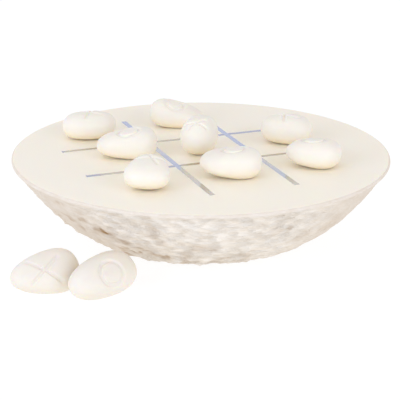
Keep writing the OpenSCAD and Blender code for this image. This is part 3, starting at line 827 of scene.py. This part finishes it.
def pebble_points(shape, marks, groove, edge):
    """One carved pebble as closed rings around its mark, from the top to the underside.

    The two parameters are the heading from the mark and the way out to the widest outline
    and back. The upper and lower halves are the crown and its mirror image, carved
    towards the pebble's middle and swollen softly by chance.
    """
    # Points in a ring, rings in the mark, and rings from its edge to the outline
    around, carved, plain = 200, 42, 25
    heading = np.linspace(0, 2 * math.pi, around, endpoint=False)[None, :]
    mark = (shape.mark[0] * shape.size[0] / 2, shape.mark[1] * shape.size[1] / 2)
    full = outline_reach(heading, mark, shape)
    # Near the outline the mark is drawn in, softly, so that it stays on top of the pebble
    room, soft = 0.96 * full / edge, 16
    drawn_in = (1 + room**-soft) ** (-1 / soft)
    inner = edge * np.minimum(1, room)
    quarter = np.linspace(0, math.pi / 2, plain + 1)[1:, None]
    near = np.arange(1, carved + 1)[:, None] / carved * inner
    outer = inner + (full - inner) * np.sin(quarter)
    below = full * np.cos(quarter[:-1])
    radius = np.concatenate([near, outer, below])
    x, y = mark[0] + radius * np.cos(heading), mark[1] + radius * np.sin(heading)
    height = crown_height(x, y, shape)
    over = len(near) + len(outer)
    height[over:] *= -1
    points = np.stack([x, y, height], -1)
    drawn = radius[:over] / drawn_in
    cut = groove(drawn * np.cos(heading), drawn * np.sin(heading), marks, shape)
    away = np.linalg.norm(points, axis=-1, keepdims=True)
    # The pebble's place shifts the larger swells, so that no two pebbles are alike
    swell = lumps(points + shape.place[0], 15 * MM, 3) + 0.3 * lumps(points, 6 * MM, 4) - 1.3
    shift = marks.swell * swell - marks.inset
    shift[:over] -= cut
    points *= 1 + shift[..., None] / away
    rise = crown_height(*map(np.array, mark), shape)
    top, bottom = np.array([*mark, rise]), np.array([*mark, -rise])
    top *= 1 - groove(np.zeros(1), np.zeros(1), marks, shape)[0] / np.linalg.norm(top)
    return np.vstack([points.reshape(-1, 3), top, bottom]), len(radius)


def lay_down(points, shape, marks):
    """Leans, raises and turns a pebble, wears its lowest side flat and sets it in place."""
    turn, rise, lean = shape.turn
    x, y, z = points.T
    y, z = y * math.cos(lean) - z * math.sin(lean), y * math.sin(lean) + z * math.cos(lean)
    x, z = x * math.cos(rise) - z * math.sin(rise), x * math.sin(rise) + z * math.cos(rise)
    x, y = x * math.cos(turn) - y * math.sin(turn), x * math.sin(turn) + y * math.cos(turn)
    z = np.maximum(z - z.min() - marks.wear, 0)
    return np.column_stack([x, y, z]) + np.array(shape.place)


def make_pebble(node, shape, marks, groove, edge, material):
    """Builds one pebble's mesh, with a cap at each pole, and lets it stand for its CAD node."""
    points, rings = pebble_points(shape, marks, groove, edge)
    points = lay_down(points, shape, marks)
    around = (len(points) - 2) // rings
    sides = grid_quads(rings, around)
    step = np.arange(around)
    nearby = (step + 1) % around
    crest = np.column_stack([np.full(around, rings * around), step, nearby])
    heel = np.column_stack([
        np.full(around, rings * around + 1), (rings - 1) * around + nearby, (rings - 1) * around + step
    ])
    faces = [*sides, *crest, *heel]
    piece = make_mesh("carved_" + node, points, faces, np.ones(len(faces), bool))
    rise = (points[:, 2] - shape.place[2]) / shape.size[2]
    # Painted glow: a golden share that fades out over the lowest 55% of the height
    low = shape.tones[0] * (1 - smooth_step(0, 0.55, rise))
    add_layers(piece, {"painted_glow_share": low, "painted_dimming": np.full(len(points), shape.tones[1])})
    piece.data.materials.append(material)
    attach(piece, node + "_piece")
    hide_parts(node)


def carve_pebbles(scene, nodes, groove, margin):
    """Makes a table's pebbles with one kind of mark, each carved to a margin past its reach."""
    marks = scene.stone_marks
    material = river_pebble_material(marks)
    for node in nodes:
        shape = scene.stone_pebbles[node]
        make_pebble(node, shape, marks, groove, shape.reach + margin, material)


class STONE_BOARD_OT_crossed_pebbles(bpy.types.Operator):
    """Makes the five pebbles that carry a carved X"""

    bl_idname = "stone_board.crossed_pebbles"
    bl_label = "Crossed Pebbles"

    def execute(self, context):
        carve_pebbles(context.scene, X_PEBBLES, cross_groove, 1.5 * MM)
        return {"FINISHED"}


class STONE_BOARD_OT_ringed_pebbles(bpy.types.Operator):
    """Makes the five pebbles that carry a carved O"""

    bl_idname = "stone_board.ringed_pebbles"
    bl_label = "Ringed Pebbles"

    def execute(self, context):
        margin = context.scene.stone_marks.groove_width / 2 + MM
        carve_pebbles(context.scene, O_PEBBLES, ring_groove, margin)
        return {"FINISHED"}


class STONE_BOARD_OT_stage(bpy.types.Operator):
    """Sets the pale floor, the soft light and the camera"""

    bl_idname = "stone_board.stage"
    bl_label = "Stage and Light"

    def execute(self, context):
        light = context.scene.stone_light
        self.lay_floor(light)
        self.hang_light("left_light", light, light.left, (-1.6, -1.6, 0.87))
        self.hang_light("right_light", light, light.right, (1.6, -1.6, 0.87))
        self.hang_light("back_light", light, light.behind, (-1.2, 1.2, 1.75))
        self.light_world(light)
        self.place_camera(context, light)
        context.scene.view_settings.view_transform = "Standard"
        return {"FINISHED"}

    def lay_floor(self, light):
        """A wide opal sheet lit from below, which glows white and swallows half the shadows."""
        half, level = 25, -0.05 * MM
        points = np.array([[x * half, y * half, level] for x, y in ((-1, -1), (1, -1), (1, 1), (-1, 1))])
        floor = make_mesh("opal_floor", points, [[0, 1, 2, 3]], [False])
        material, tree, out = fresh_material("lit_opal_sheet")
        sheet = add(tree, "ShaderNodeBsdfDiffuse", {"Color": linear("#7C7C7C")})
        glow = add(tree, "ShaderNodeEmission", {"Color": linear("#FFFFFF"), "Strength": light.floor_glow})
        both = add(tree, "ShaderNodeAddShader", {0: sheet.outputs["BSDF"], 1: glow.outputs["Emission"]})
        tree.links.new(both.outputs["Shader"], out.inputs["Surface"])
        floor.data.materials.append(material)

    def hang_light(self, name, light, power, place):
        """A square soft light aimed at the middle of the board."""
        lamp = bpy.data.lights.new(name, "AREA")
        lamp.energy, lamp.size, lamp.color = power, light.lamp_side, light.daylight
        holder = bpy.data.objects.new(name, lamp)
        holder.location = place
        middle = Vector((0, 0, 0.05))
        holder.rotation_euler = (middle - Vector(place)).to_track_quat("-Z", "Y").to_euler()
        bpy.context.scene.collection.objects.link(holder)

    def light_world(self, light):
        """Even light from all around, a little bluer and brighter low down behind the board."""
        world = bpy.data.worlds.new("studio")
        world.use_nodes = True
        tree = world.node_tree
        tree.nodes.clear()
        way = add(tree, "ShaderNodeTexCoord").outputs["Generated"]
        parts = add(tree, "ShaderNodeSeparateXYZ", {"Vector": way})
        low = add(
            tree, "ShaderNodeMapRange", {"Value": parts.outputs["Z"], "From Min": 0.46, "From Max": 0.36}
        )
        far = add(
            tree, "ShaderNodeMapRange", {"Value": parts.outputs["Y"], "From Min": 0.2, "From Max": 0.6}
        )
        window = add(
            tree, "ShaderNodeMath", {0: low.outputs["Result"], 1: far.outputs["Result"]}, operation="MULTIPLY"
        )
        mix = add(
            tree, "ShaderNodeMix",
            {"Factor": window.outputs["Value"], "A": rgba(light.fill), "B": rgba(light.window)},
            data_type="RGBA",
        )
        sky = add(tree, "ShaderNodeBackground", {"Color": mix.outputs["Result"], "Strength": light.ambient})
        out = add(tree, "ShaderNodeOutputWorld")
        tree.links.new(sky.outputs["Background"], out.inputs["Surface"])
        bpy.context.scene.world = world

    def place_camera(self, context, light):
        """A camera at the given place, turned, dipped and tilted by the given angles."""
        turn, dip, tilt = light.aim
        ahead = Vector((math.sin(turn) * math.cos(dip), math.cos(turn) * math.cos(dip), -math.sin(dip)))
        right = ahead.cross(Vector((0, 0, 1))).normalized()
        up = right.cross(ahead)
        side = right * math.cos(tilt) + up * math.sin(tilt)
        over = up * math.cos(tilt) - right * math.sin(tilt)
        data = bpy.data.cameras.new("camera")
        data.lens, data.sensor_width, data.sensor_fit = light.lens, 36, "HORIZONTAL"
        data.clip_start, data.clip_end = 0.05, 50
        camera = bpy.data.objects.new("camera", data)
        aimed = Matrix((side, over, -ahead)).transposed().to_4x4()
        camera.matrix_world = Matrix.Translation(light.camera) @ aimed
        context.scene.collection.objects.link(camera)
        context.scene.camera = camera


class STONE_BOARD_PT_panel(bpy.types.Panel):
    """Lists the sizes, colours and building steps of the stone board"""

    bl_label = "Stone Board"
    bl_space_type = "VIEW_3D"
    bl_region_type = "UI"
    bl_category = "Stone Board"

    def draw(self, context):
        scene = context.scene
        groups = (scene.stone_board, scene.stone_strips, scene.stone_marks, scene.stone_light)
        for group in (*groups, *scene.stone_pebbles):
            box = self.layout.box()
            for name in group.bl_rna.properties.keys():
                if name not in ("rna_type", "name"):
                    box.prop(group, name)
        for step in STEPS:
            self.layout.operator(step.bl_idname)


STEPS = (
    STONE_BOARD_OT_hewn_board, STONE_BOARD_OT_grid_strips, STONE_BOARD_OT_crossed_pebbles,
    STONE_BOARD_OT_ringed_pebbles, STONE_BOARD_OT_stage,
)
GROUPS = (BoardSizes, StripSizes, MarkSizes, PebbleShape, StageLight)


def register():
    """Makes the classes known and hangs their sizes on the scene."""
    for item in (*GROUPS, *STEPS, STONE_BOARD_PT_panel):
        bpy.utils.register_class(item)
    bpy.types.Scene.stone_board = bpy.props.PointerProperty(type=BoardSizes)
    bpy.types.Scene.stone_strips = bpy.props.PointerProperty(type=StripSizes)
    bpy.types.Scene.stone_marks = bpy.props.PointerProperty(type=MarkSizes)
    bpy.types.Scene.stone_light = bpy.props.PointerProperty(type=StageLight)
    bpy.types.Scene.stone_pebbles = bpy.props.CollectionProperty(type=PebbleShape)


def unregister():
    """Takes away all that register has made."""
    for name in ("stone_board", "stone_strips", "stone_marks", "stone_light", "stone_pebbles"):
        delattr(bpy.types.Scene, name)
    for item in reversed((*GROUPS, *STEPS, STONE_BOARD_PT_panel)):
        bpy.utils.unregister_class(item)


def set_out_pebbles(scene):
    """Fills the scene's list of pebbles from the two tables."""
    for node, row in {**X_PEBBLES, **O_PEBBLES}.items():
        place, turn, size, taper, square, mark, reach, *strokes = row
        shape = scene.stone_pebbles.add()
        shape.name = node
        shape.place = [v * MM for v in place]
        shape.turn = [math.radians(v) for v in turn]
        shape.size = [v * MM for v in size]
        shape.taper, shape.square, shape.mark, shape.reach = taper, square, mark, reach * MM
        shape.tones = BOARD_TONES if place[2] > 0 else SPARE_TONES
        if strokes:
            shape.strokes = [math.radians(v) for v in strokes[0]]


def main():
    """Builds the board and its stage."""
    register()
    set_out_pebbles(bpy.context.scene)
    bpy.ops.stone_board.stage()
    bpy.ops.stone_board.hewn_board()
    bpy.ops.stone_board.grid_strips()
    bpy.ops.stone_board.crossed_pebbles()
    bpy.ops.stone_board.ringed_pebbles()


if __name__ == "__main__":
    main()
